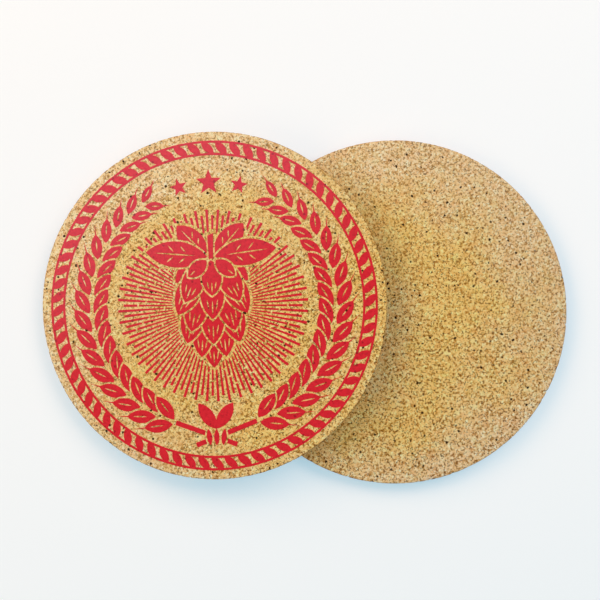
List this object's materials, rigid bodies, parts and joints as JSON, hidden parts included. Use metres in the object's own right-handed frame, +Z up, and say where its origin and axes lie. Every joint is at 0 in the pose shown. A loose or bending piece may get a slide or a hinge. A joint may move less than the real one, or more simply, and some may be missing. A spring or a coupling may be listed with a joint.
{
  "type": "drink coaster",
  "caption": "Round punched cork drink coasters: one screen printed in one colour, leaning on the rim of a bare one of the same size.",
  "frame": {"origin": "on the table, under the middle of the box round both coasters", "axes": "+Z up from the table; +X from the printed coaster's centre to the bare one's, the way the printed one leans; +Y towards the top of the print"},
  "size_m": [0.1526, 0.1, 0.0117],
  "materials": {
    "cork": "matte agglomerated cork",
    "ink": "matte screen-print ink"
  },
  "bodies": {
    "bare_coaster": {"bare_disc": "cork"},
    "printed_coaster": {"printed_disc": "cork", "print_rope_border": "ink", "print_barley_left": "ink", "print_barley_right": "ink", "print_stem_tie": "ink", "print_sunburst": "ink", "print_hop_cone": "ink", "print_hop_leaves": "ink", "print_stars": "ink"}
  },
  "joints": [
    {"name": "printed_lift", "type": "slide", "parent": "bare_coaster", "child": "printed_coaster", "axis": [0, 0, 1], "range_m": [0, 0.06]}
  ]
}
